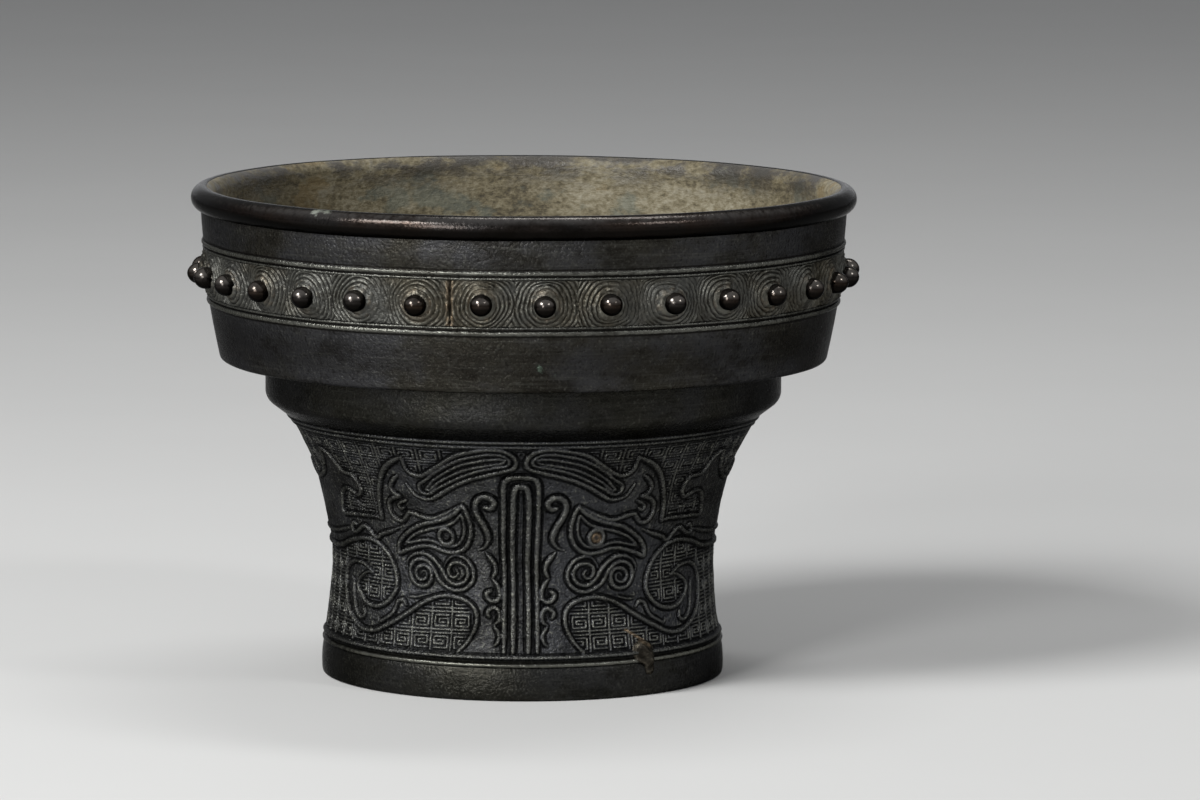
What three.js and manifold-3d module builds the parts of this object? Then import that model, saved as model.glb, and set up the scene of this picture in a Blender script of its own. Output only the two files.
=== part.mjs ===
// A cast bronze vase in the archaistic manner: a wide basin with a rolled rim and a band of domed bosses,
// standing on a waisted stem with a plain foot. Millimetres, +Z up. The origin is on the table under the
// axis, and the middle of the stem's front faces -Y.
import * as THREE from "three";
import { mergeVertices } from "three/addons/utils/BufferGeometryUtils.js";
import Module from "manifold-3d";

const wasm = await Module();
wasm.setup();

// Sizes that more than one piece shares.
const TOTAL_HEIGHT = 110.5;
const WALL = 3.0; // thickness of the cast walls
const CLEARANCE = 0.3; // gap left round a piece that is let into another
const ROUND_SEGMENTS = 64; // sides of everything that runs round the vase

// Rim bead.
const RIM_RADIUS = 75.0; // outside of the rolled rim
const BEAD_RADIUS = 2.75; // radius of its round section
const BEAD_SEAT_DROP = 1.9; // its flat seat lies this far under its centre
const BEAD_STEPS = 12; // an even count keeps a point at its very top

// Basin.
const RIM_OVERHANG = 2.15; // the rim bead stands this far out over the wall
const UPPER_TAPER = 1.7; // the wall draws in by this much from the rim to the band's lower border
const LOWER_TAPER = 2.65; // and by this much from there to the lower edge
const BASIN_EDGE_ROUND = 1.0;
const BASIN_CORNER_ROUND = 3.0; // inside, between wall and floor
const BASIN_UNDERSIDE = 71.3;
const BAND_BOTTOM = 84.9;
const BAND_TOP = 98.2;
const BORDER_WIDTH = 1.3; // the band's borders are low fillets of this width
const BORDER_PROUD = 0.35;
const SPIGOT_DEPTH = 4.0; // the spigot under the basin reaches this far down inside the stem's collar
const SPIGOT_WALL = 2.2;

// Bosses.
const BOSS_COUNT = 32;
const BOSS_PHASE = 4.4; // degrees from the front to the first boss
const BOSS_RADIUS = 2.35;
const BOSS_HEIGHT = 4.4; // from the wall to the tip
const BOSS_DROP = 0.6; // the bosses stand a little below the band's middle
const BOSS_FULLNESS = 0.8; // below 1, the dome's shoulders are fuller than half an ellipse
const BOSS_SHANK_RADIUS = 1.1;
const BOSS_SHANK_DEPTH = 1.6; // the shank's hole is blind, so that the wall holds water
const BOSS_SEGMENTS = 10;
const BOSS_RINGS = 4;

// Stem.
const COLLAR_RADIUS = 58.3;
const COLLAR_BOTTOM = 64.2; // the collar starts to turn under at this height
const SHOULDER_ROUND = 3.2;
const SHOULDER_TURN = 46; // degrees of round under the collar
const MASK_TOP = 57.8; // upper end of the waisted stretch
const MASK_TOP_INSET = 6.1; // its upper end lies this far in from the collar
const WAIST_HEIGHT = 25.5;
const WAIST_DRAW = 2.35; // the waist is drawn in from the foot by this much
const FLARE_LOWER_PULL = 13; // the flare leaves the waist upright for this long
const FLARE_UPPER_PULL = [5.2, 11]; // and meets its upper end from this far in and below
const SKIRT_UPPER_PULL = 6;
const SKIRT_LOWER_PULL = [1.2, 4];
const FOOT_HEIGHT = 8.2; // top of the plain foot band
const FOOT_RADIUS = 45.5;
const FOOT_LIP = 0.2; // the foot band stands this far out from the stem above it
const FOOT_EDGE_ROUND = 0.8;
const FOOT_WALL = 3.5;

// Base plate and the ledge inside the foot that carries it.
const LEDGE_WIDTH = 1.35; // how much of the plate's edge lies on the ledge
const LEDGE_TOP = 6.5;
const LEDGE_THICKNESS = 2.7;
const PLATE_THICKNESS = 2.4;

// Repair to the casting, at the top of the foot band.
const PATCH_ANGLE = 40.3; // degrees from the front
const PATCH_HEIGHT = 8.9;
const PATCH_RADIUS = 3.0;
const PATCH_FACE_RADIUS = 2.3; // it is dressed down to this at its face
const PATCH_PROUD = 0.5;
const PATCH_DEPTH = 2.0;
const PATCH_SEGMENTS = 14;

const BRONZE = { color: 0x2a2925, roughness: 0.42, metalness: 0.85 };
const POLISHED_BRONZE = { color: 0x33251d, roughness: 0.3, metalness: 0.9 };
const BARE_BRONZE = { color: 0x4a3c28, roughness: 0.5, metalness: 0.8 };

const radians = (degrees) => (degrees * Math.PI) / 180;
const degrees = (angle) => (angle * 180) / Math.PI;

// Points of an arc about [radius, height], from one angle to another in degrees.
function arc([radius, height], size, from, to, steps) {
  return Array.from({ length: steps + 1 }, (_, i) => {
    const angle = radians(from + ((to - from) * i) / steps);
    return [radius + size * Math.cos(angle), height + size * Math.sin(angle)];
  });
}

// A closed profile of [radius, height] points, turned about the vertical axis.
function turned(profile, segments = ROUND_SEGMENTS) {
  const points = profile.map(([radius, height]) => new THREE.Vector2(radius, height));
  points.push(points[0].clone());
  return new THREE.LatheGeometry(points, segments).rotateX(Math.PI / 2);
}

const basinTopRadius = RIM_RADIUS - RIM_OVERHANG;
const bandBottomRadius = basinTopRadius - UPPER_TAPER;
const basinEdgeRadius = bandBottomRadius - LOWER_TAPER;
const waistRadius = FOOT_RADIUS - WAIST_DRAW;
const plateRadius = waistRadius - WALL - CLEARANCE;

// A round peg along +Z, centred on the origin.
function peg(farRadius, nearRadius, length, segments) {
  return new THREE.CylinderGeometry(farRadius, nearRadius, length, segments).rotateX(Math.PI / 2);
}

// Turns a geometry that points along +Z outwards, tips it down by a lean in radians, and moves it to a
// place on the vase.
function pointedOut(geometry, fromFront, radius, height, lean = 0) {
  return geometry
    .clone()
    .rotateX(Math.PI / 2 + lean)
    .translate(0, -radius, height)
    .rotateZ(radians(fromFront));
}

// A geometry as a closed solid, with its shared vertices merged and its faces pointing out.
function solid(geometry) {
  const bare = geometry.clone();
  bare.deleteAttribute("normal");
  bare.deleteAttribute("uv");
  const merged = mergeVertices(bare, 1e-4);
  const triVerts = new Uint32Array(merged.index.array);
  const vertProperties = merged.attributes.position.array;
  const made = new wasm.Manifold(new wasm.Mesh({ numProp: 3, vertProperties, triVerts }));
  if (made.volume() > 0) {
    return made;
  }
  return new wasm.Manifold(new wasm.Mesh({ numProp: 3, vertProperties, triVerts: triVerts.reverse() }));
}

const vase = new THREE.Group();

function addPiece(name, piece, finish) {
  const mesh = piece.getMesh();
  const geometry = new THREE.BufferGeometry();
  geometry.setAttribute("position", new THREE.BufferAttribute(new Float32Array(mesh.vertProperties), 3));
  geometry.setIndex(new THREE.BufferAttribute(new Uint32Array(mesh.triVerts), 1));
  geometry.computeVertexNormals();
  const placed = new THREE.Mesh(geometry, new THREE.MeshStandardMaterial(finish));
  placed.name = name;
  vase.add(placed);
}

// Rim bead: round in section, with a flat seat on the top edge of the basin's wall.
const beadCentre = [RIM_RADIUS - BEAD_RADIUS, TOTAL_HEIGHT - BEAD_RADIUS];
const beadSeat = beadCentre[1] - BEAD_SEAT_DROP;

function rimBead() {
  const seatAngle = degrees(Math.asin(BEAD_SEAT_DROP / BEAD_RADIUS));
  return solid(turned(arc(beadCentre, BEAD_RADIUS, -seatAngle, 180 + seatAngle, BEAD_STEPS)));
}

// Outside radius of the basin at a height between its lower edge and the rim.
function basinRadiusAt(height) {
  const edge = BASIN_UNDERSIDE + BASIN_EDGE_ROUND;
  if (height < BAND_BOTTOM) {
    const share = (height - edge) / (BAND_BOTTOM - edge);
    return basinEdgeRadius + share * (bandBottomRadius - basinEdgeRadius);
  }
  const share = (height - BAND_BOTTOM) / (beadSeat - BAND_BOTTOM);
  return bandBottomRadius + share * (basinTopRadius - bandBottomRadius);
}

const bossHeight = (BAND_BOTTOM + BAND_TOP) / 2 - BOSS_DROP;
const bossWallRadius = basinRadiusAt(bossHeight);
const bossLean = Math.atan(UPPER_TAPER / (beadSeat - BAND_BOTTOM)); // a boss stands square to the wall
const bossAngles = Array.from({ length: BOSS_COUNT }, (_, i) => BOSS_PHASE + (i * 360) / BOSS_COUNT);

// Profile points of a border of the band, from its lower edge to its upper edge.
function border(middle) {
  const half = BORDER_WIDTH / 2;
  const face = basinRadiusAt(middle) + BORDER_PROUD;
  return [
    [basinRadiusAt(middle - half), middle - half],
    [face, middle - half / 2],
    [face, middle + half / 2],
    [basinRadiusAt(middle + half), middle + half],
  ];
}

// Basin: the tapering wall, the floor that steps in to the stem, and the spigot that locates it in the
// stem's collar. Each boss has a blind hole in the wall.
function basin() {
  const edge = [basinEdgeRadius - BASIN_EDGE_ROUND, BASIN_UNDERSIDE + BASIN_EDGE_ROUND];
  const floor = BASIN_UNDERSIDE + WALL;
  const corner = [basinRadiusAt(floor) - WALL - BASIN_CORNER_ROUND, floor + BASIN_CORNER_ROUND];
  const spigot = COLLAR_RADIUS - WALL - CLEARANCE;
  const wall = solid(
    turned([
      [spigot - SPIGOT_WALL, BASIN_UNDERSIDE - SPIGOT_DEPTH],
      [spigot, BASIN_UNDERSIDE - SPIGOT_DEPTH],
      [spigot, BASIN_UNDERSIDE],
      ...arc(edge, BASIN_EDGE_ROUND, -90, 0, 3),
      ...border(BAND_BOTTOM),
      ...border(BAND_TOP),
      [basinTopRadius, beadSeat],
      [basinTopRadius - WALL, beadSeat],
      [bandBottomRadius - WALL, BAND_BOTTOM],
      ...arc(corner, BASIN_CORNER_ROUND, 0, -90, 3),
      [spigot - SPIGOT_WALL, floor],
    ]),
  );
  const holeRadius = BOSS_SHANK_RADIUS + CLEARANCE;
  const hole = peg(holeRadius, holeRadius, 2 * (BOSS_SHANK_DEPTH + CLEARANCE), BOSS_SEGMENTS);
  const holes = bossAngles.map((angle) =>
    solid(pointedOut(hole, angle, bossWallRadius, bossHeight, bossLean)),
  );
  return wall.subtract(wasm.Manifold.union(holes));
}

// Boss: a domed stud along +Z, whose shank is let into the basin's wall. The wall's face is at 0.
function boss() {
  const dome = Array.from({ length: BOSS_RINGS }, (_, i) => {
    const angle = ((Math.PI / 2) * i) / BOSS_RINGS;
    return [
      BOSS_RADIUS * Math.cos(angle) ** BOSS_FULLNESS,
      CLEARANCE + (BOSS_HEIGHT - CLEARANCE) * Math.sin(angle),
    ];
  });
  const profile = [
    [0, -BOSS_SHANK_DEPTH],
    [BOSS_SHANK_RADIUS, -BOSS_SHANK_DEPTH],
    [BOSS_SHANK_RADIUS, CLEARANCE],
    ...dome,
    [0, BOSS_HEIGHT],
  ];
  return turned(profile, BOSS_SEGMENTS);
}

// Outside of the stem from the top of the foot band to the shoulder, as one smooth waisted curve.
function waistedOutline() {
  const foot = new THREE.Vector2(FOOT_RADIUS - FOOT_LIP, FOOT_HEIGHT);
  const waist = new THREE.Vector2(waistRadius, WAIST_HEIGHT);
  const top = new THREE.Vector2(COLLAR_RADIUS - MASK_TOP_INSET, MASK_TOP);
  const skirt = new THREE.CubicBezierCurve(
    foot,
    new THREE.Vector2(foot.x - SKIRT_LOWER_PULL[0], foot.y + SKIRT_LOWER_PULL[1]),
    new THREE.Vector2(waist.x, waist.y - SKIRT_UPPER_PULL),
    waist,
  );
  const flare = new THREE.CubicBezierCurve(
    waist,
    new THREE.Vector2(waist.x, waist.y + FLARE_LOWER_PULL),
    new THREE.Vector2(top.x - FLARE_UPPER_PULL[0], top.y - FLARE_UPPER_PULL[1]),
    top,
  );
  return [...skirt.getPoints(3), ...flare.getPoints(6).slice(1)].map((point) => [point.x, point.y]);
}

// Stem: the waisted body, cast in one with the collar above its round shoulder, the plain foot band below
// it and the ledge that the base plate lies on.
function stem() {
  const shoulder = [COLLAR_RADIUS - SHOULDER_ROUND, COLLAR_BOTTOM];
  const waisted = waistedOutline();
  const collar = [...arc(shoulder, SHOULDER_ROUND, -SHOULDER_TURN, 0, 3), [COLLAR_RADIUS, BASIN_UNDERSIDE]];
  const inside = [...waisted.slice(1), ...collar].map(([radius, height]) => [radius - WALL, height]);
  const footEdge = [FOOT_RADIUS - FOOT_EDGE_ROUND, FOOT_EDGE_ROUND];
  const plateSeat = plateRadius + CLEARANCE;
  const ledgeRadius = plateRadius - LEDGE_WIDTH;
  const body = solid(
    turned([
      [FOOT_RADIUS - FOOT_WALL, 0],
      ...arc(footEdge, FOOT_EDGE_ROUND, -90, 0, 2),
      [FOOT_RADIUS, FOOT_HEIGHT],
      ...waisted,
      ...collar,
      ...inside.reverse(),
      [plateSeat, LEDGE_TOP + PLATE_THICKNESS],
      [plateSeat, LEDGE_TOP],
      [ledgeRadius, LEDGE_TOP],
      [ledgeRadius, LEDGE_TOP - LEDGE_THICKNESS],
      [FOOT_RADIUS - FOOT_WALL, LEDGE_TOP - LEDGE_THICKNESS],
    ]),
  );
  const pocketRadius = PATCH_RADIUS + CLEARANCE;
  const pocket = peg(pocketRadius, pocketRadius, 2 * (PATCH_DEPTH + CLEARANCE), PATCH_SEGMENTS);
  return body.subtract(solid(pointedOut(pocket, PATCH_ANGLE, FOOT_RADIUS, PATCH_HEIGHT)));
}

// Base plate: the disc that closes the stem, lying on the ledge inside the foot.
function basePlate() {
  const top = LEDGE_TOP + PLATE_THICKNESS;
  return solid(turned([[0, LEDGE_TOP], [plateRadius, LEDGE_TOP], [plateRadius, top], [0, top]]));
}

// Casting patch: a plug let into a pocket in the stem, and dressed back nearly flush.
function castingPatch() {
  const length = PATCH_DEPTH + PATCH_PROUD;
  const plug = peg(PATCH_FACE_RADIUS, PATCH_RADIUS, length, PATCH_SEGMENTS);
  return solid(pointedOut(plug, PATCH_ANGLE, FOOT_RADIUS + PATCH_PROUD - length / 2, PATCH_HEIGHT));
}

addPiece("basin", basin(), BRONZE);
addPiece("rim_bead", rimBead(), POLISHED_BRONZE);
addPiece("stem", stem(), BRONZE);
addPiece("base_plate", basePlate(), BRONZE);
addPiece("casting_patch", castingPatch(), BARE_BRONZE);
bossAngles.forEach((angle, i) => {
  const name = `boss_${String(i + 1).padStart(2, "0")}`;
  const placed = pointedOut(boss(), angle, bossWallRadius, bossHeight, bossLean);
  addPiece(name, solid(placed), POLISHED_BRONZE);
});

export default vase;
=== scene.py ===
import math

import bmesh
import bpy
import numpy as np
from mathutils import Matrix, Vector, noise


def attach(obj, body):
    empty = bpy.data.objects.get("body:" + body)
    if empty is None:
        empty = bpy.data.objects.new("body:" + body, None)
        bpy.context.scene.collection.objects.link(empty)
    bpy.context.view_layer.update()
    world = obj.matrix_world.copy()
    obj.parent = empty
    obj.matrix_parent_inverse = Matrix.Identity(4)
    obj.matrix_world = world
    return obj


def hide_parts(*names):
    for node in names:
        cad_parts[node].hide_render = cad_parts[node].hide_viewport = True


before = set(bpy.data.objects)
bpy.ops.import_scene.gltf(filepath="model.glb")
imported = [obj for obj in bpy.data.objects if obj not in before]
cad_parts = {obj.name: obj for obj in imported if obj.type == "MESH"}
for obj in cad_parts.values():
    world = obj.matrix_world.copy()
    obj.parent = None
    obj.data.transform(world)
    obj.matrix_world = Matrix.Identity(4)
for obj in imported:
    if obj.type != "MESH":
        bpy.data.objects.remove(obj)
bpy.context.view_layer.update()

# Camera: it stands 1.7 m in front of the vase, 16 cm above the rim, and looks down on it by 7 degrees. A
# long lens fills the frame with the vase.
CAMERA_DISTANCE = 1.7
CAMERA_AIM = (0.01732, 0.0, 0.06165)
CAMERA_PITCH = math.radians(7.129)
CAMERA_ROLL = math.radians(0.258)
LENS_MM = 225.7
SENSOR_MM = 36.0


def put_in_scene(name, data):
    """Stands a mesh, a lamp or a camera in the scene as an object."""
    placed = bpy.data.objects.new(name, data)
    bpy.context.scene.collection.objects.link(placed)
    return placed


camera_data = bpy.data.cameras.new("camera")
camera_data.sensor_width = SENSOR_MM
camera_data.lens = LENS_MM
camera = put_in_scene("camera", camera_data)
aim = Matrix.Translation(CAMERA_AIM)
tilt = Matrix.Rotation(math.pi / 2 - CAMERA_PITCH, 4, "X") @ Matrix.Rotation(CAMERA_ROLL, 4, "Z")
camera.matrix_world = aim @ tilt @ Matrix.Translation((0, 0, CAMERA_DISTANCE))
bpy.context.scene.camera = camera


# Studio: a wide pale floor in a pale room, and four softboxes. The key stands high on the left and a tall
# one left of the camera. Two weak ones, high on the right and over the back, lift the shaded side.
MM = 0.001  # the studio is in metres, and the vase's own sizes are in mm


class Value:
    """A number, vector or colour in a material's nodes. Python's operators on it add Math nodes."""

    def __init__(self, finish, socket):
        self.finish = finish
        self.socket = socket

    def __add__(self, other):
        return self.finish.maths("ADD", self, other)

    def __sub__(self, other):
        return self.finish.maths("SUBTRACT", self, other)

    def __rsub__(self, other):
        return self.finish.maths("SUBTRACT", other, self)

    def __mul__(self, other):
        return self.finish.maths("MULTIPLY", self, other)

    __radd__ = __add__
    __rmul__ = __mul__

    def ramp(self, low, high, to_low=0.0, to_high=1.0):
        """Eases from one value to another as this goes from low to high."""
        settings = {"interpolation_type": "SMOOTHSTEP"}
        sockets = {0: self, 1: low, 2: high, 3: to_low, 4: to_high}
        return self.finish.node("ShaderNodeMapRange", settings, sockets)


class Finish:
    """The nodes of a material, or of the room, made by one method."""

    def __init__(self, owner):
        self.owner = owner
        owner.use_nodes = True
        self.tree = owner.node_tree
        self.tree.nodes.clear()

    def node(self, kind, settings=None, sockets=None, output=0):
        made = self.tree.nodes.new(kind)
        for name, value in (settings or {}).items():
            if name == "stops":
                self.set_stops(made.color_ramp, value)
            else:
                setattr(made, name, value)
        for name, value in (sockets or {}).items():
            if isinstance(value, Value):
                self.tree.links.new(value.socket, made.inputs[name])
            else:
                made.inputs[name].default_value = value
        if len(made.outputs) == 0:
            return made
        return Value(self, made.outputs[output])

    def set_stops(self, ramp, stops):
        while len(ramp.elements) < len(stops):
            ramp.elements.new(1.0)
        for element, (place, colour) in zip(ramp.elements, stops):
            element.position = place
            element.color = colour

    def maths(self, operation, first, second):
        return self.node("ShaderNodeMath", {"operation": operation}, {0: first, 1: second})

    def mix(self, share, first, second):
        """Goes from the first colour to the second as share goes from 0 to 1."""
        settings = {"data_type": "RGBA", "clamp_factor": True}
        return self.node("ShaderNodeMix", settings, {0: share, 6: first, 7: second}, output=2)

    def noise(self, place, scale, detail=3.0, roughness=0.55):
        sockets = {"Vector": place, "Scale": scale, "Detail": detail, "Roughness": roughness}
        return self.node("ShaderNodeTexNoise", None, sockets)

    def around(self, place, point, reach):
        """1 close to a point of the vase and 0 beyond a reach from it, both in mm, with a ragged edge."""
        centre = tuple(part * MM for part in point)
        settings = {"operation": "DISTANCE"}
        away = self.node("ShaderNodeVectorMath", settings, {0: place, 1: centre}, output=1)
        ragged = away + self.noise(place, 900.0, 3.0, 0.7) * (reach * 1.6 * MM)
        return ragged.ramp(reach * 1.5 * MM, reach * 0.9 * MM)

    def attribute(self, name):
        """A number that the mesh keeps for each of its points, 0 where it keeps none."""
        return self.node("ShaderNodeAttribute", {"attribute_name": name}, None, output=2)

    def place(self, stretch=(1.0, 1.0, 1.0)):
        """Where a point lies on the vase, in metres, stretched along the axes."""
        here = self.node("ShaderNodeTexCoord", None, None, output=3)
        return self.node("ShaderNodeMapping", None, {"Vector": here, "Scale": stretch})

    def close(self, shader, output="ShaderNodeOutputMaterial"):
        self.node(output, None, {"Surface": shader})
        return self.owner


FLOOR_SIZE = 14.0
FLOOR_COLOUR = (0.61, 0.61, 0.60, 1.0)
FLOOR_CLOUD_COLOUR = (0.64, 0.64, 0.63, 1.0)
ROOM_COLOUR = (0.65, 0.66, 0.68, 1.0)
ROOM_LIGHT = 0.2  # the share of the room's brightness that lights things; the camera and gloss see all of it

floor_finish = Finish(bpy.data.materials.new("pale floor"))
floor_cloud = floor_finish.noise(floor_finish.place(), 9.0)
floor_colour = floor_finish.mix(floor_cloud, FLOOR_COLOUR, FLOOR_CLOUD_COLOUR)
floor_sockets = {"Base Color": floor_colour, "Roughness": 0.85}
floor_material = floor_finish.close(floor_finish.node("ShaderNodeBsdfPrincipled", None, floor_sockets))
floor_mesh = bpy.data.meshes.new("floor")
half = FLOOR_SIZE / 2
floor_corners = [(-half, -half, 0), (half, -half, 0), (half, half, 0), (-half, half, 0)]
floor_mesh.from_pydata(floor_corners, [], [(0, 1, 2, 3)])
floor_mesh.materials.append(floor_material)
floor = put_in_scene("floor", floor_mesh)

room = bpy.data.worlds.new("room")
bpy.context.scene.world = room
room_finish = Finish(room)
camera_ray, glossy_ray, clear_ray = (
    room_finish.node("ShaderNodeLightPath", None, None, output=kind)
    for kind in ("Is Camera Ray", "Is Glossy Ray", "Is Transmission Ray")
)
seen = (camera_ray + glossy_ray + clear_ray).ramp(0.0, 1.0)
strength = ROOM_LIGHT + seen * (1 - ROOM_LIGHT)
background = room_finish.node("ShaderNodeBackground", None, {"Color": ROOM_COLOUR, "Strength": strength})
room_finish.close(background, "ShaderNodeOutputWorld")

LAMP_SPREAD = math.radians(120)  # a grid on each softbox keeps its light off the floor under it
LAMP_AIM = Vector((0, 0, 0.06))


def softbox(name, place, width, height, watts):
    """A rectangular lamp that faces the middle of the vase."""
    lamp = bpy.data.lights.new(name, "AREA")
    lamp.shape = "RECTANGLE"
    lamp.size = width
    lamp.size_y = height
    lamp.energy = watts
    lamp.spread = LAMP_SPREAD
    placed = put_in_scene(name, lamp)
    placed.location = place
    placed.rotation_euler = (placed.location - LAMP_AIM).to_track_quat("Z", "Y").to_euler()


softbox("key softbox", (-1.15, -0.95, 1.25), width=0.6, height=0.6, watts=14.4)
softbox("right softbox", (1.3, -0.95, 1.3), width=0.3, height=0.3, watts=2.4)
softbox("front softbox", (-1.15, -2.1, 0.7), width=0.55, height=0.95, watts=13.2)
softbox("top softbox", (0.25, 0.6, 1.8), width=1.1, height=0.3, watts=3.2)

bpy.context.scene.view_settings.view_transform = "Standard"


# Stem: the waisted pedestal with its plain foot band and its collar, cast in one in a mould of several
# pieces. Its waist is left lower for the mask, and its inside keeps the olive crust of the casting.
TURNS = 384  # steps round the vase on its turned surfaces
WELD = 2e-6  # metres: points closer than this are one


def weld(mesh):
    """Joins points that lie on each other, and turns the faces outwards."""
    shape = bmesh.new()
    shape.from_mesh(mesh)
    bmesh.ops.remove_doubles(shape, verts=shape.verts, dist=WELD)
    bmesh.ops.recalc_face_normals(shape, faces=shape.faces)
    shape.to_mesh(mesh)
    shape.free()


def mark(mesh, kind, values):
    """Keeps a number for each point of a mesh, which its material reads under this name."""
    kept = mesh.attributes.new(kind, "FLOAT", "POINT")
    kept.data.foreach_set("value", np.ravel(values).astype(np.float32))


def turned(name, profile, materials, sharp=40.0, steps=TURNS, sway=0.0):
    """A closed profile turned about the vase's axis, a little out of round, as a casting is.

    A point of the profile has its radius and height in mm, and may have the number of its material and its
    relief, from -1 in a groove to 1 on what hands rub. On the collar, the basin's lower wall and the bead
    it is painted shade, and on the bead's top a painted sheen. Sway is how far its heights waver, in mm.
    """
    filled = [tuple(point) + (0,) * (4 - len(point)) for point in profile]
    radius, height, slot, relief = np.array(filled, float).T
    angle = np.arange(steps) * 2 * np.pi / steps
    round_share = 1 + 0.0006 * np.cos(3 * angle + 0.7) + 0.0004 * np.cos(5 * angle + 2.0) - 0.001
    rows = len(profile)
    x = np.outer(np.sin(angle) * round_share, radius) * MM
    y = np.outer(-np.cos(angle) * round_share, radius) * MM
    rise = sway * (0.6 * np.sin(2 * angle + 0.4) + 0.3 * np.sin(5 * angle + 1.1) + 0.2 * np.sin(13 * angle))
    z = (height + rise[:, None]) * MM
    points = np.stack([x, y, z], -1).reshape(-1, 3)
    this = np.arange(steps)[:, None] * rows
    following = ((np.arange(steps) + 1) % steps)[:, None] * rows
    lower = np.arange(rows)[None, :]
    upper = ((np.arange(rows) + 1) % rows)[None, :]
    faces = np.stack([this + lower, following + lower, following + upper, this + upper], -1)
    mesh = bpy.data.meshes.new(name)
    mesh.from_pydata(points.tolist(), [], faces.reshape(-1, 4).tolist())
    mesh.polygons.foreach_set("material_index", np.tile(slot, steps).astype(np.int32))
    mark(mesh, "relief", np.tile(relief, steps))
    for material in materials:
        mesh.materials.append(material)
    if radius.min() == 0:
        weld(mesh)
    mesh.shade_smooth()
    mesh.set_sharp_from_angle(angle=math.radians(sharp))
    mesh.update()
    return put_in_scene(name, mesh)


def bow(centre, size, start, end, steps, slot=0, relief=0):
    """Points of an arc of a profile, from one angle to another in degrees."""
    angles = np.radians(np.linspace(start, end, steps + 1))
    return [(centre[0] + size * math.cos(a), centre[1] + size * math.sin(a), slot, relief) for a in angles]


def smooth_line(corners, steps=5):
    """A smooth line through corners that were given, closed where the last is the first."""
    corner = np.array(corners, float)
    closed = np.allclose(corner[0], corner[-1])
    before = np.vstack([corner[-2:-1] if closed else 2 * corner[:1] - corner[1:2], corner[:-2]])
    after = np.vstack([corner[2:], corner[1:2] if closed else 2 * corner[-1:] - corner[-2:-1]])
    line = []
    for p0, p1, p2, p3 in zip(before, corner, corner[1:], after):
        for t in np.arange(steps) / steps:
            square, cube = 2 * p0 - 5 * p1 + 4 * p2 - p3, 3 * p1 - p0 - 3 * p2 + p3
            line.append(p1 + ((p2 - p0) * t + square * t**2 + cube * t**3) / 2)
    line.append(corner[-1])
    return np.array(line)


BARE_METAL = (0.25, 0.185, 0.12, 1)
EDGE_TINT = (0.15, 0.15, 0.15, 1)  # the patina mirrors little of the room where it is seen edge on


def bronze(name, tones, dullness, grit, brushed=0.2, wear=0.4, metal=0.9, verdigris=()):
    """Dark patinated bronze: tones for its hollows, its skin, its stains, and what is rubbed bright.

    Dullness is its mean roughness, and grit the depth of its pits in mm. Brushed and wear are the shares of
    the turner's strokes and of the rubbing by hands; on the bead and bosses, wear sets a painted sheen.
    Each verdigris spot has a point, a reach and a tone.
    """
    deep, skin, stain, worn = ((*tone, 1) for tone in tones)
    finish = Finish(bpy.data.materials.new(name))
    here = finish.place()
    cloud = finish.noise(here, 30.0, 4.0, 0.6)
    spots = finish.noise(finish.place((1.0, 1.0, 1.7)), 85.0, 5.0, 0.7)
    fleck = finish.noise(here, 620.0, 4.0, 0.65)
    grain = finish.noise(here, 1700.0, 3.0)
    strokes = finish.noise(finish.place((60.0, 60.0, 1500.0)), 1.0, 4.0, 0.7)
    pits = fleck * 0.4 + grain * 0.6
    relief = finish.attribute("relief")
    bare = finish.attribute("bare")
    colour = finish.mix((cloud * 0.7 + spots * 0.3).ramp(0.4, 0.58), stain, skin)
    colour = finish.mix(spots.ramp(0.5, 0.34) * 0.6, colour, deep)
    colour = finish.mix(pits.ramp(0.52, 0.7) * grit, colour, worn)
    colour = finish.mix(pits.ramp(0.47, 0.36) * 0.5, colour, deep)
    colour = finish.mix(strokes.ramp(0.5, 0.7) * (brushed * 0.5), colour, worn)
    # Where a part's relief is painted light, these two mixes give its painted sheen and painted shade.
    colour = finish.mix(relief.ramp(0.05, 0.8) * (fleck + cloud).ramp(0.6, 1.15) * wear, colour, worn)
    colour = finish.mix(relief.ramp(-0.05, -0.6) * 0.85, colour, deep)
    colour = finish.mix(bare * (fleck + spots).ramp(0.65, 1.1), colour, BARE_METAL)
    for point, reach, tone in verdigris:
        colour = finish.mix(finish.around(here, point, reach), colour, (*tone, 1))
    roughness = dullness + cloud * 0.2 + grain * 0.3 - 0.25 - relief.ramp(0.0, 1.0) * 0.08
    height = fleck * 0.5 + grain * 0.8 + strokes * brushed
    bump = finish.node("ShaderNodeBump", None, {"Strength": 0.9, "Distance": grit * MM, "Height": height})
    sockets = {"Base Color": colour, "Roughness": roughness, "Metallic": metal, "Normal": bump,
               "Specular Tint": EDGE_TINT, "IOR": 1.4}
    return finish.close(finish.node("ShaderNodeBsdfPrincipled", None, sockets))


CRUST_TONES = [
    (0.37, (0.022, 0.018, 0.011, 1)),
    (0.44, (0.070, 0.057, 0.030, 1)),
    (0.50, (0.145, 0.123, 0.073, 1)),
    (0.56, (0.215, 0.191, 0.130, 1)),
    (0.66, (0.31, 0.29, 0.225, 1)),
]
CRUST_GREY = (0.10, 0.115, 0.095, 1)
CRUST_RUST = (0.17, 0.12, 0.05, 1)
CRUST_DARK = (0.022, 0.018, 0.014, 1)
CRUST_SHADE = (0.100, 0.1095)  # metres up: between these the crust turns dark towards the rim
CRUST_BUMP = 0.0006


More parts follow.
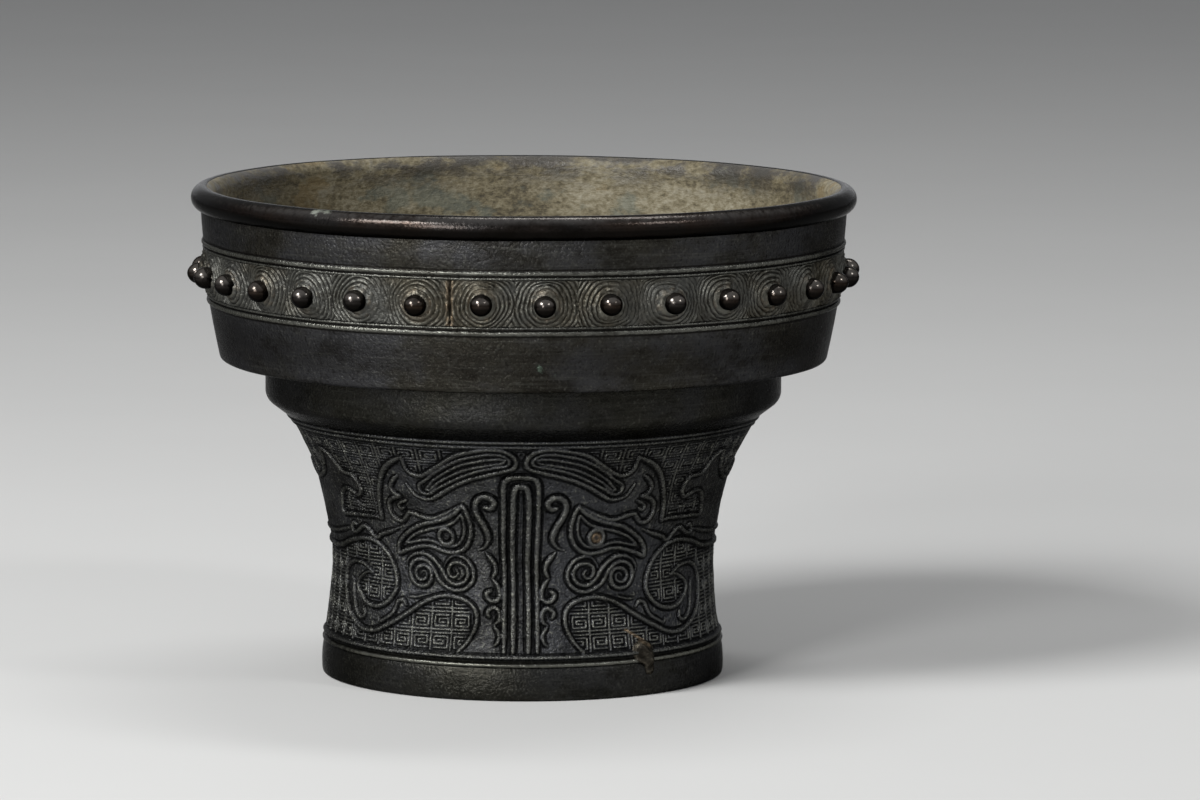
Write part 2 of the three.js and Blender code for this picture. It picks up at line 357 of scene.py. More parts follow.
def crust(name):
    """The olive crust of the inside: streaked, flecked and blotched, and worn dark under the rim."""
    finish = Finish(bpy.data.materials.new(name))
    height = finish.node("ShaderNodeSeparateXYZ", None, {0: finish.place()}, output=2)
    cloud = finish.noise(finish.place((1.0, 1.0, 3.0)), 26.0, 5.0, 0.65)
    streak = finish.noise(finish.place((1.0, 1.0, 3.0)), 150.0, 5.0, 0.7)
    fleck = finish.noise(finish.place((1.0, 1.0, 1.4)), 760.0, 4.0, 0.65)
    blotch = finish.noise(finish.place((1.0, 1.0, 1.5)), 70.0, 4.0, 0.6)
    tone = cloud * 0.34 + streak * 0.32 + fleck * 0.34
    colour = finish.node("ShaderNodeValToRGB", {"stops": CRUST_TONES}, {0: tone})
    colour = finish.mix(blotch.ramp(0.56, 0.66) * 0.55, colour, CRUST_GREY)
    colour = finish.mix(blotch.ramp(0.42, 0.34) * 0.5, colour, CRUST_RUST)
    dark = height.ramp(*CRUST_SHADE) * (blotch * 0.5 + streak * 0.5).ramp(0.44, 0.56) * 0.9
    colour = finish.mix(dark, colour, CRUST_DARK)
    relief = fleck * 0.7 + streak + cloud
    bump = finish.node("ShaderNodeBump", None, {"Strength": 0.6, "Distance": CRUST_BUMP, "Height": relief})
    sockets = {"Base Color": colour, "Roughness": 0.74 - dark * 0.35, "Metallic": 0.1, "Normal": bump}
    return finish.close(finish.node("ShaderNodeBsdfPrincipled", None, sockets))


dark_tones = ((0.006, 0.006, 0.005), (0.028, 0.028, 0.028), (0.023, 0.022, 0.018), (0.14, 0.14, 0.12))
dark_bronze = bronze("dark bronze", dark_tones, dullness=0.27, grit=0.25, wear=0.8)
olive_crust = crust("olive crust")

MASK_FOOT = 9.0
MASK_HEAD = 59.0
MASK_BED = 1.05  # mm the stem is lowered under the mask
stem_outline = smooth_line([
    (44.9, 8.6), (44.75, 9.6), (44.45, 10.9), (44.1, 12.9), (43.75, 16.0), (43.35, 20.7), (43.15, 25.5),
    (43.25, 29.0), (43.5, 32.0), (43.98, 34.5), (44.8, 39.0), (45.6, 42.4), (46.4, 45.4), (47.4, 48.3),
    (48.4, 50.6), (49.5, 52.7), (50.6, 54.9), (51.7, 56.7), (52.6, 58.0), (53.6, 59.1),
])


def waist(height):
    """The radius of the stem's outside at a height, in mm."""
    return np.interp(height, stem_outline[:, 1], stem_outline[:, 0])


stem_profile = (
    [(42.0, 0.0, 0), (44.7, 0.0, 0), (45.3, 0.3, 0, -0.3), (45.45, 1.0, 0, -0.25), (45.5, 3.0, 0, -0.25)]
    + [(45.42, 5.0, 0, -0.25), (45.25, 6.4, 0, -0.25), (45.0, 7.2, 0, -0.3)]
    + [(44.9, 7.4, 0, -0.6)]
    + bow((44.95, 7.95), 0.45, -55, 70, 6, 0, 1)
    + [(44.75, 8.6, 0, -0.8), (44.8, MASK_FOOT, 0, -0.8)]
    + [(waist(z) - MASK_BED, z, 0) for z in np.linspace(MASK_FOOT, MASK_HEAD, 16)]
    + [(waist(MASK_HEAD), MASK_HEAD, 0)]
    # Painted shade: the shoulder under the collar and the collar's face are darker, where the basin shades
    # them.
    + bow((55.1, 64.2), 3.2, -46, -4, 6, 0, -0.25)
    + [(58.3, 66.0, 0, -0.25), (58.3, 71.2, 0, -0.3), (55.3, 71.2, 0), (55.3, 64.5, 1)]
    + [(51.2, 60.5, 1), (48.6, 57.8, 1), (43.9, 49.5, 1), (41.0, 40.0, 1), (39.9, 27.0, 1), (39.9, 20.0, 1)]
    + [(40.6, 12.0, 1), (40.15, 8.9, 1), (40.15, 6.5, 0), (38.5, 6.5, 0), (38.5, 3.8, 0), (42.0, 3.8, 0)]
)
stem = turned("stem_body", stem_profile, [dark_bronze, olive_crust])
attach(stem, "root")
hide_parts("stem")


# Mask: a monster's face on each side of the waist, cast with the stem. Rounded cords draw its features on
# a plain skin, and square thunder spirals fill the ground between them. It is laid in as four quarters.
DEGREE = 0.77  # mm of the surface in one degree round the waist
# Each line has its name, its width in mm, the share of it that its two ends have, and the corners that
# it runs through, in degrees from the nose and mm above the foot.
MASK_LINES = [
    ("foot border", 0.95, (1, 1), [(-3, 9.7), (30, 9.7), (60, 9.7), (93, 9.7)]),
    ("head border", 0.75, (1, 1), [(-3, 58.45), (30, 58.45), (60, 58.45), (93, 58.45)]),
    ("second head border", 0.7, (1, 1), [(-3, 57.4), (30, 57.4), (60, 57.4), (93, 57.4)]),
    ("nose bar", 1.5, (0.8, 1), [
        (2.2, 11.0), (2.2, 20), (2.2, 30), (2.2, 42.1), (2.1, 45.7), (1.7, 47.4), (0.9, 48.2), (-1, 48.2)]),
    ("nose frame", 1.3, (0.8, 1), [
        (4.8, 11.0), (4.8, 20), (4.8, 30), (4.8, 42.1), (4.8, 46.9), (4.5, 48.9), (3.6, 49.9), (2.0, 50.3),
        (-1, 50.4)]),
    ("horn", 1.05, (0.7, 0.5), [
        (31.5, 54.3), (31.3, 52.7), (30.9, 51.3), (29.7, 50.4), (27.5, 50.1), (25.0, 50.9), (21.3, 52.9),
        (16.9, 55.2), (12.2, 56.3), (7.5, 56.8), (4.1, 56.4), (1.9, 55.1), (1.3, 53.6), (2.2, 52.3),
        (5.9, 51.4), (10.6, 50.4), (13.8, 49.6), (16.9, 48.5), (20.0, 47.1), (23.1, 45.5), (25.6, 44.6),
        (28.1, 44.7), (30.2, 45.4), (31.7, 47.0), (32.3, 47.9)]),
    ("horn's second line", 0.85, (1, 1), [
        (28.1, 48.0), (25.6, 49.3), (23.1, 50.9), (16.9, 53.9), (12.2, 55.1), (7.5, 55.7), (4.4, 55.3),
        (2.9, 54.1), (3.8, 53.0), (7.5, 52.4), (12.2, 51.4), (16.9, 49.8), (20.6, 48.2), (23.1, 47.1),
        (25.0, 46.1), (26.9, 45.8), (28.3, 46.6), (28.1, 48.0)]),
    ("horn's slot", 0.75, (1, 1), [
        (26.2, 46.9), (25.0, 48.0), (23.1, 49.5), (16.9, 52.6), (12.2, 53.8), (7.5, 54.5), (4.8, 54.5),
        (4.2, 54.0), (5.3, 53.5), (9.1, 53.0), (13.8, 52.1), (16.9, 51.1), (21.3, 49.2), (23.1, 48.2),
        (25.0, 46.9), (26.2, 46.9)]),
    ("ear", 1.15, (0.6, 0.8), [
        (31.5, 54.3), (34.7, 53.1), (37.8, 51.5), (40.3, 49.4), (42.2, 46.8), (43.4, 43.9), (43.8, 41.4),
        (43.8, 38.9)]),
    ("ear's fold", 1.0, (0.4, 0.9), [(34.5, 49.8), (36.6, 48.5), (38.1, 46.9), (37.3, 45.5), (35.5, 44.8)]),
    ("brow", 1.05, (0.9, 0.3), [
        (35.5, 44.8), (38.6, 44.0), (40.0, 42.7), (39.9, 40.7), (38.4, 39.2), (36.1, 38.9), (34.4, 40.1),
        (33.3, 41.0), (30.9, 40.7), (27.5, 40.0), (25.0, 40.2), (21.3, 41.4), (18.1, 42.9), (16.1, 43.9)]),
    ("ear's curl", 0.85, (0.5, 0.9), [(33.6, 43.9), (35.5, 43.3), (36.6, 42.5), (35.9, 41.7), (34.8, 42.1)]),
    ("eyelid", 1.1, (1, 1), [
        (16.1, 43.2), (18.4, 41.7), (21.3, 40.4), (24.7, 39.4), (29.4, 38.5), (32.5, 37.3), (35.6, 35.6),
        (37.8, 33.9), (38.6, 32.2), (38.3, 31.4), (35.6, 32.2), (31.9, 33.1), (28.8, 33.6), (26.3, 33.5),
        (22.5, 32.7), (19.1, 32.7), (16.3, 33.9), (14.6, 36.1), (14.2, 38.6), (14.8, 41.1), (16.1, 43.2)]),
    ("eye", 0.8, (1, 1), [
        (16.8, 41.3), (18.4, 40.1), (20.6, 38.9), (24.7, 38.0), (28.8, 37.1), (32.5, 35.8), (35.3, 33.9),
        (32.5, 34.3), (28.8, 34.9), (26.3, 34.8), (23.8, 34.1), (21.3, 33.9), (18.8, 34.4), (16.9, 36.0),
        (16.2, 38.1), (16.3, 40.2), (16.8, 41.3)]),
    ("pupil", 1.05, (1, 1), [
        (22.0, 37.85), (20.4, 37.35), (19.8, 36.1), (20.4, 34.85), (22.0, 34.35), (23.6, 34.85),
        (24.2, 36.1), (23.6, 37.35), (22.0, 37.85)]),
    ("upper strand", 1.05, (0.3, 0.5), [
        (35.4, 27.5), (35.8, 28.9), (35.3, 30.1), (33.6, 31.2), (31.2, 31.8), (28.8, 31.7), (27.1, 31.1),
        (25.2, 30.0), (23.6, 28.3), (22.3, 26.7), (20.6, 25.7), (18.7, 25.5), (16.8, 26.2), (15.7, 27.5),
        (15.9, 29.1), (17.4, 30.2), (19.7, 30.4), (21.3, 29.6), (21.8, 28.3), (21.0, 27.2), (19.6, 27.1),
        (18.8, 28.0), (19.5, 28.9)]),
    ("lower strand", 1.05, (0.4, 0.5), [
        (23.1, 29.3), (22.4, 30.4), (20.9, 31.6), (18.7, 31.9), (16.1, 31.2), (14.4, 29.5), (14.0, 27.6),
        (14.6, 26.0), (16.6, 24.6), (19.0, 24.1), (21.4, 24.5), (23.9, 25.6), (25.3, 27.0), (26.3, 28.6),
        (27.9, 29.9), (29.9, 30.5), (32.0, 30.3), (33.8, 29.4), (34.6, 27.8), (34.1, 26.2), (32.6, 25.0),
        (30.4, 24.6), (28.3, 25.2), (27.3, 26.7), (27.4, 28.1), (28.6, 29.0), (30.4, 29.1), (32.0, 28.5),
        (32.7, 27.3), (32.0, 26.2), (30.5, 25.9), (29.1, 26.6), (29.0, 27.7), (30.0, 28.0), (30.9, 27.4)]),
    ("first curl", 1.5, (0.7, 0.2), [
        (9.9, 43.3), (8.5, 43.1), (7.6, 43.7), (7.4, 44.6), (8.5, 45.5), (10.3, 45.7), (12.0, 44.8),
        (12.5, 43.1), (11.7, 41.1), (10.3, 39.2), (9.3, 37.4), (9.1, 35.9), (10.0, 34.6), (11.3, 33.8),
        (12.8, 33.5)]),
    ("crescent", 1.25, (0.2, 0.6), [(10.3, 33.1), (8.8, 31.7), (7.6, 30.2), (7.4, 28.7), (8.3, 27.3)]),
    ("second curl", 1.25, (0.3, 0.8), [
        (8.7, 27.2), (7.2, 25.9), (6.2, 24.1), (6.4, 22.5), (8.0, 21.9), (9.6, 22.5), (10.1, 23.6),
        (9.0, 24.2)]),
    ("third curl", 1.15, (0.7, 0.4), [
        (9.2, 18.4), (9.8, 19.4), (8.4, 20.4), (6.8, 20.2), (6.1, 18.8), (6.5, 17.4), (7.8, 16.7)]),
    ("last curl", 1.0, (0.5, 0.2), [(7.8, 16.4), (6.6, 15.2), (6.3, 14.0), (6.9, 12.7), (8.1, 12.0)]),
    ("jaw", 1.1, (0.7, 0.5), [
        (18.3, 10.6), (15.9, 12.5), (13.8, 15.2), (13.0, 17.9), (13.9, 20.4), (16.9, 22.1), (21.9, 22.9),
        (26.3, 22.3), (30.0, 21.0), (34.1, 18.9), (38.8, 16.7), (43.1, 15.1), (46.3, 14.0), (50.0, 13.4),
        (53.8, 13.6), (57.5, 14.6), (61.3, 16.4), (63.9, 18.9), (65.1, 22.1), (64.9, 24.8), (63.1, 26.8),
        (60.0, 27.9), (56.6, 28.0), (53.8, 27.6), (51.6, 26.8), (50.0, 26.1)]),
    ("jaw's inner edge", 1.1, (0.5, 1), [
        (50.0, 26.1), (52.5, 26.0), (55.0, 25.1), (56.9, 23.9), (57.3, 22.5), (55.9, 21.1), (53.1, 19.6),
        (50.0, 18.9), (46.3, 19.1), (43.1, 20.2), (40.9, 21.8), (39.5, 23.9), (40.0, 26.8), (41.6, 29.5),
        (44.1, 31.6), (47.8, 33.3), (52.2, 33.8), (56.9, 33.3), (62.2, 32.3), (66.9, 31.1), (71.9, 30.6),
        (79.4, 30.4), (93, 30.3)]),
    ("fang", 0.85, (0.4, 0.8), [
        (60.8, 24.3), (59.7, 23.2), (59.4, 20.7), (58.7, 18.3), (56.9, 16.5), (54.7, 15.8), (52.9, 16.6),
        (53.2, 17.8)]),
    ("lip", 0.85, (0.4, 0.7), [
        (46.9, 16.8), (45.9, 15.7), (43.4, 16.6), (40.9, 17.7), (39.6, 19.2), (38.8, 20.7), (36.9, 21.1),
        (35.8, 20.1)]),
    ("whisker", 0.6, (0.4, 0.3), [(35.6, 22.0), (33.1, 22.0), (30.9, 22.4), (28.8, 22.9)]),
    ("cheek line", 1.0, (0.4, 0.7), [
        (36.9, 37.4), (39.4, 36.6), (42.5, 35.8), (45.0, 35.2), (46.6, 34.3), (48.1, 34.6), (49.7, 35.7),
        (51.4, 36.5), (53.3, 36.4), (55.3, 35.4), (57.5, 34.8), (58.8, 35.4), (57.7, 36.8), (56.3, 36.6)]),
    ("cheek line behind", 0.85, (0.5, 1), [
        (58.8, 35.4), (60.6, 35.4), (63.8, 34.9), (66.9, 34.4), (71.9, 33.8), (79.4, 33.5), (93, 33.4)]),
    ("body", 1.0, (0.8, 1), [
        (43.8, 38.9), (46.9, 39.2), (51.3, 39.1), (57.5, 38.9), (62.8, 38.8), (61.6, 42.5), (59.5, 44.3),
        (56.4, 44.5), (54.1, 43.9), (52.5, 43.6), (51.6, 43.9), (50.6, 45.0), (51.3, 46.8), (53.0, 48.1),
        (56.9, 48.4), (58.4, 49.3), (60.3, 51.4), (62.5, 52.8), (64.7, 53.2), (65.9, 51.4), (67.3, 49.6),
        (70.0, 47.5), (73.1, 46.3), (77.8, 45.7), (82.5, 46.8), (86.3, 48.2), (93, 48.6)]),
    ("mark on the body", 0.65, (0.5, 0.5), [(53.8, 42.1), (52.5, 41.5), (50.6, 41.3)]),
]
THUNDER_START = 1.35  # mm from the nose to the first upright line of the thunder ground
THUNDER_WIDE = (90 * DEGREE - THUNDER_START) / 14  # a spiral with its frame, from upright to upright
THUNDER_TALL = (4.83, 3.75)  # from one row to the next, low on the waist and high on it
THUNDER_FROM = (10.0, 57.0)  # the height that the low rows start up from, and the high rows down from
THUNDER_LEVEL = 2.0  # mm up or down from a spiral's middle to the level lines of its frame
THUNDER_LINE = np.array([
    (-1.6, -1.2), (1.6, -1.2), (1.6, 1.25), (-1.55, 1.25), (-1.55, -0.35), (0.65, -0.35), (0.65, 0.45),
    (-0.65, 0.45)])
THUNDER_HALF_WIDTH = 0.25
THUNDER_FLAT = 1.35  # the more this is over 1, the broader is the flat top of a line
THUNDER_DEPTH = 0.34
MASK_SIDE = 95  # degrees from the nose, past the quarter's end
HORN_CREST = 60  # points of the horn's line that run along its upper edge, from its root to the nose
CORD_SWELL = 0.95  # a cord's height for each mm of its half width
CORD_FULLNESS = 0.7  # below 1, its section is fuller than a parabola
CORD_TAPER = 0.3  # the share of a line over which it grows to its full width from either end
MOAT_DEPTH = 0.5  # the groove beside a cord, for each mm of the cord's half width
MOAT_AWAY = 0.1  # mm from the cord's edge to the deepest line of its groove
MOAT_WIDTH = 0.22
MOAT_REACH = 0.8  # mm from the cord's edge, past which its groove has run out
WAIST_RADIUS = 43.6  # at the eye, to turn an angle into mm
PUPIL = (22.0, 36.1)  # the right eye's, in degrees and mm: it shows a spot of tan metal
SCAR = ((32.2, 14.9), (38.6, 12.0))  # a rubbed line over the casting patch, in degrees and mm
MASK_ROWS = 264
MASK_COLUMNS = 360  # to a quarter turn
BACK_STRIDE = 12  # the plain back of a quarter has one face to so many of its front's
BACK_GAP = 0.03  # mm between a quarter's back and the stem's bed
GRIT = 0.016  # mm of unevenness of the cast skin, from fine to broad
LUMPS = 0.03
WAVES = 0.09
MASK_FADE = 4  # mm from the mask's upper and lower edge over which its unevenness sets in


def hump(away, width):
    """1 at a line, and close to 0 farther away from it than twice a width."""
    return np.exp(-((away / width) ** 2))


def to_stretch(across, up, start, end):
    """How far each point is from a straight stretch, and the share of it up to the nearest place on it."""
    along = end - start
    share = ((across - start[0]) * along[0] + (up - start[1]) * along[1]) / max(along @ along, 1e-9)
    share = np.clip(share, 0, 1)
    return np.hypot(across - start[0] - share * along[0], up - start[1] - share * along[1]), share


def thunder(across, up, tall):
    """The square thunder spirals of the ground, from 0 in their grooves to 1 on their lines."""
    column = np.floor(across / THUNDER_WIDE)
    row = np.floor(up / tall)
    x = (across / THUNDER_WIDE - column - 0.5) * THUNDER_WIDE * np.where((column + row) % 2 == 0, 1, -1)
    y = (up / tall - row - 0.5) * THUNDER_TALL[0] * np.where(row % 2 == 0, 1, -1)
    nearest = np.minimum(THUNDER_WIDE / 2 - abs(x), abs(abs(y) - THUNDER_LEVEL))
    for start, end in zip(THUNDER_LINE, THUNDER_LINE[1:]):
        nearest = np.minimum(nearest, to_stretch(x, y, start, end)[0])
    return np.clip(THUNDER_FLAT - (nearest / THUNDER_HALF_WIDTH) ** 2, 0, 1)


def within(across, up, outline):
    """Which points of a grid lie inside a closed outline."""
    inside = np.zeros(across.shape, bool)
    for (x0, y0), (x1, y1) in zip(outline, np.roll(outline, -1, axis=0)):
        if y0 != y1:
            level = (up >= min(y0, y1)) & (up < max(y0, y1))
            inside ^= level & (across < x0 + (x1 - x0) * (up - y0) / (y1 - y0))
    return inside


def thunder_ground(across, up, lines):
    """The cut of the spirals in mm, over the horn and under the jaw, and 0 on the plain skin elsewhere."""
    side = MASK_SIDE * DEGREE
    above = [lines["horn"][:HORN_CREST][::-1], lines["ear"], lines["body"],
             [(side, 57.0), (-1, 57.0), (-1, 56.8)]]
    below = [lines["jaw"], lines["jaw's inner edge"], [(side, 10.3), (18.3 * DEGREE, 10.3)]]
    high = within(across, up, np.vstack(above))
    low = within(across, up, np.vstack(below))
    low_rows, high_rows = (thunder(across - THUNDER_START, up - start, tall)
                           for start, tall in zip(THUNDER_FROM, THUNDER_TALL))
    return np.where(high | low, THUNDER_DEPTH * (np.where(high, high_rows, low_rows) - 1), 0)


def mask_relief(degrees, heights):
    """How far the mask stands out from the waist in mm, over a quarter turn from its nose."""
    across, up = np.meshgrid(degrees * DEGREE, heights)
    lines = {name: smooth_line(np.array(points) * (DEGREE, 1)) for name, _, _, points in MASK_LINES}
    cord = np.zeros(across.shape)
    moat = np.zeros(across.shape)
    for name, width, ends, _ in MASK_LINES:
        line = lines[name]
        run = np.append(0, np.cumsum(np.hypot(*np.diff(line, axis=0).T)))
        run = run / run[-1] / CORD_TAPER
        taper = np.minimum(np.minimum(ends[0] + run, ends[1] + run[-1] - run), 1)
        half = width / 2 * taper
        reach = width / 2 + MOAT_REACH
        for start, end, thick, thin in zip(line, line[1:], half, half[1:]):
            columns = np.searchsorted(across[0], np.sort((start[0], end[0])) + (-reach, reach))
            rows = np.searchsorted(up[:, 0], np.sort((start[1], end[1])) + (-reach, reach))
            near = np.s_[slice(*rows), slice(*columns)]
            away, share = to_stretch(across[near], up[near], start, end)
            radius = thick + (thin - thick) * share
            swell = CORD_SWELL * radius * np.clip(1 - (away / radius) ** 2, 0, 1) ** CORD_FULLNESS
            cord[near] = np.maximum(cord[near], swell)
            beside = hump(away - radius - MOAT_AWAY, MOAT_WIDTH)
            moat[near] = np.minimum(moat[near], -MOAT_DEPTH * beside * radius)
    floor = np.minimum(thunder_ground(across, up, lines), moat)
    return np.maximum(floor, cord + floor * np.clip(1 - cord / 0.1, 0, 1))


def softened(field, reach, times=3):
    """A field of heights blurred over some steps, round the turn and up and down."""
    for _ in range(times):
        field = (np.roll(field, reach, 1) + field + np.roll(field, -reach, 1)) / 3
        tall = np.pad(field, ((reach, reach), (0, 0)), "edge")
        field = (tall[2 * reach:] + field + tall[:-2 * reach]) / 3
    return field


def placed_points(radius, turn, height):
    """Points in metres, from mm out of the axis, an angle from the front and mm above the ground."""
    return MM * np.stack([radius * np.sin(turn), -radius * np.cos(turn), height], -1)


mask_tones = ((0.004, 0.004, 0.004), (0.040, 0.041, 0.044), (0.036, 0.036, 0.035), (0.20, 0.20, 0.17))
mask_bronze = bronze("cast bronze", mask_tones, dullness=0.31, grit=0.6, brushed=0.0, wear=0.5)


def mask_quarter(name, front, facing, relief, bare, bed):
    """A closed plate with the fine relief in front, narrow sides and a plain back on the stem's bed."""
    rows, columns = front.shape[:2]
    number = np.arange(rows * columns).reshape(rows, columns)
    behind = bed[::BACK_STRIDE, ::BACK_STRIDE]
    back = rows * columns + np.arange(behind.shape[0] * behind.shape[1]).reshape(behind.shape[:2])
    outer = np.stack([number[:-1, :-1], number[:-1, 1:], number[1:, 1:], number[1:, :-1]], -1)
    inner = np.stack([back[:-1, :-1], back[1:, :-1], back[1:, 1:], back[:-1, 1:]], -1)
    faces = outer.reshape(-1, 4).tolist() + inner.reshape(-1, 4).tolist()
    rim = np.concatenate([number[0, :-1], number[:-1, -1], number[-1, :0:-1], number[:0:-1, 0]])
    hem = np.concatenate([back[0, :-1], back[:-1, -1], back[-1, :0:-1], back[:0:-1, 0]])
    middle = BACK_STRIDE // 2
    for i in range(len(hem)):
        first, last = hem[i], hem[(i + 1) % len(hem)]
        edge = [rim[(i * BACK_STRIDE + j) % len(rim)] for j in range(BACK_STRIDE + 1)]
        faces += [(edge[j + 1], edge[j], first) for j in range(middle)]
        faces.append((first, last, edge[middle]))
        faces += [(edge[j + 1], edge[j], last) for j in range(middle, BACK_STRIDE)]
    mesh = bpy.data.meshes.new(name)
    mesh.from_pydata(np.concatenate([front.reshape(-1, 3), behind.reshape(-1, 3)]).tolist(), [], faces)
    mesh.materials.append(mask_bronze)
    mesh.shade_smooth()
    plain_back = np.zeros(back.size)
    mark(mesh, "relief", np.append(relief.ravel(), plain_back))
    mark(mesh, "bare", np.append(bare.ravel(), plain_back))
    outward = np.concatenate([facing.reshape(-1, 3), -facing[::BACK_STRIDE, ::BACK_STRIDE].reshape(-1, 3)])
    mesh.normals_split_custom_set_from_vertices(outward.tolist())
    return put_in_scene(name, mesh)


# The quarter that is drawn is mirrored about the nose and about the side, all the way round, and then
# drifts a little, so that no two quarters are quite alike.
mask_heights = np.linspace(MASK_FOOT, MASK_HEAD, MASK_ROWS + 1)
level = mask_heights[:, None]
quarter = mask_relief(np.linspace(0, 90, MASK_COLUMNS + 1), mask_heights)
step = np.arange(4 * MASK_COLUMNS)
mask = quarter[:, abs((step + MASK_COLUMNS) % (2 * MASK_COLUMNS) - MASK_COLUMNS)]
turn = step * math.pi / (2 * MASK_COLUMNS)
drift = 0.12 * np.sin(3 * turn + level / 9) + 0.1 * np.sin(7 * turn - level / 5)
sway = 0.0025 * np.sin(5 * turn + level / 7) + 0.0015 * np.sin(11 * turn + level / 3)
fade = np.minimum(1, np.minimum(level - MASK_FOOT, MASK_HEAD - level) / MASK_FADE)
grit = softened(np.random.default_rng(11).normal(0, 1, mask.shape), 1, 2)
lumps = softened(softened(grit, 2), 4)
waves = softened(softened(lumps, 8), 16)
dents = GRIT * grit / grit.std() + LUMPS * lumps / lumps.std() + WAVES * waves / waves.std()
mask_points = placed_points(waist(level) + mask + dents * fade, turn + sway * fade, level + drift * fade)
bed_radius = (waist(level) - MASK_BED + BACK_GAP) + 0 * turn
bed_points = placed_points(bed_radius, turn, level + 0 * turn)
along = np.roll(mask_points, -1, 1) - np.roll(mask_points, 1, 1)
mask_facing = np.cross(along, np.gradient(mask_points, axis=0))
mask_facing /= np.linalg.norm(mask_facing, axis=-1, keepdims=True)
on_cord = mask > 0.03
mask_shade = np.clip((mask - softened(mask, 3)) / 0.22, -1, 1) * np.where(on_cord, 0.4, 1.0)
pupil_away = np.hypot((turn - math.radians(PUPIL[0])) * WAIST_RADIUS, level - PUPIL[1])
pupil_bare = np.clip(2.2 - pupil_away / 0.6, 0, 0.9) * np.clip(pupil_away / 0.5 - 0.6, 0.15, 1)
left_or_right = turn + np.where(turn > math.pi, -math.tau, 0)
scar_ends = np.array(SCAR) * (DEGREE, 1)
scar_away = to_stretch(left_or_right / math.radians(1) * DEGREE, level, *scar_ends)[0]
mask_bare = np.maximum(pupil_bare, np.clip(1.3 - scar_away / 0.3, 0, 1))
for i, side in enumerate(["front_right", "back_right", "back_left", "front_left"]):
    columns = np.arange(i * MASK_COLUMNS, (i + 1) * MASK_COLUMNS + 1) % (4 * MASK_COLUMNS)
    grids = [grid[:, columns] for grid in (mask_points, mask_facing, mask_shade, mask_bare, bed_points)]
    piece = mask_quarter("mask_" + side, *grids)
    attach(piece, "root")
    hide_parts("stem")


# Base plate: a plain disc, cast of the same bronze, that closes the stem under the basin. It was let down
# through the stem before the basin went on, and lies on the ledge inside the foot.
plate_profile = [(0.0, 6.5), (39.4, 6.5), (39.8, 6.8), (39.8, 8.5), (39.4, 8.9), (0.0, 8.9)]
plate = turned("base_disc", plate_profile, [dark_bronze], steps=96)
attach(plate, "root")
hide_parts("base_plate")


# Casting patch: bronze poured into a fault of the casting, low on the right of the front. It was filed
# down to a ridge, its tongue ran over the groove onto the foot, and its upper edge is rubbed to the metal.
PATCH_TURN = math.radians(38.7)
PATCH_HEIGHT = 9.6
PATCH_DEPTH = 1.6
PATCH_SIDES = 48
PATCH_ROWS = np.array([0.3, 0.7, 1.1, 1.5, 1.9, 2.2, 2.5, 2.8, 3.2, 3.7, 4.2, 4.9])  # mm from its middle
PATCH_RADIUS = 44.8  # of the vase where the patch is
BACK_POINT = 0.4  # mm that the middle of a wall plate's back lies deeper than its edge


def wall_plate(name, turn, height, directions, edge, distances, wall, swell, depth, material):
    """A closed plate let into a wall. Its front runs out in rings from its middle to its edge."""
    distance = np.minimum(distances[:, None], edge[None, :])
    rise, shade = swell(distance, directions[None, :])
    up = height + distance * np.sin(directions)
    across = distance * np.cos(directions) / wall(height)
    rings = [(wall(up) + rise, across, up), (wall(up[-1:]) - depth, across[-1:], up[-1:])]
    radius, sideways, level = (np.concatenate(parts) for parts in zip(*rings))
    count, sides = radius.shape
    centre_rise, centre_shade = swell(np.zeros((1, 1)), np.zeros((1, 1)))
    centres = [wall(height) + centre_rise[0, 0], wall(height) - depth - BACK_POINT]
    radius = np.append(radius.ravel(), centres)
    sideways = np.append(sideways.ravel(), [0, 0]) + turn
    level = np.append(level.ravel(), [height, height])
    number = np.arange(count * sides).reshape(count, sides)
    following = np.roll(number, -1, 1)
    faces = np.stack([number[:-1], number[1:], following[1:], following[:-1]], -1).reshape(-1, 4).tolist()
    faces += [(number[0, i], following[0, i], count * sides) for i in range(sides)]
    faces += [(following[-1, i], number[-1, i], count * sides + 1) for i in range(sides)]
    mesh = bpy.data.meshes.new(name)
    mesh.from_pydata(placed_points(radius, sideways, level).tolist(), [], faces)
    shades = np.concatenate([(shade + 0 * distance).ravel(), np.zeros(sides), [centre_shade[0, 0], 0]])
    mark(mesh, "relief", shades)
    weld(mesh)
    mesh.materials.append(material)
    mesh.shade_smooth()
    return put_in_scene(name, mesh)


patch_tones = ((0.006, 0.005, 0.004), (0.031, 0.028, 0.023), (0.033, 0.026, 0.018), (0.19, 0.17, 0.13))
patch_bronze = bronze("patch bronze", patch_tones, dullness=0.32, grit=0.35)
patch_directions = np.arange(PATCH_SIDES) * math.tau / PATCH_SIDES
patch_outline = smooth_line([
    (0.0, 1.9), (0.5, 2.3), (1.2, 2.4), (2.0, 3.1), (2.5, 3.7), (2.9, 3.9), (3.5, 3.6), (4.1, 2.8),
    (4.4, 3.1), (4.55, 4.7), (4.75, 5.0), (4.95, 4.9), (5.1, 4.2), (5.25, 2.6), (5.8, 1.9), (6.284, 2.1)])
patch_edge = np.interp(patch_directions, patch_outline[:, 0], patch_outline[:, 1])


def patch_wall(height):
    """The outside of the foot band and of the waist over it, in mm from the axis."""
    return np.interp(height, [4, 8.0, 8.5, 9.2, 12.0], [45.5, 45.45, 45.0, 44.85, 44.3])


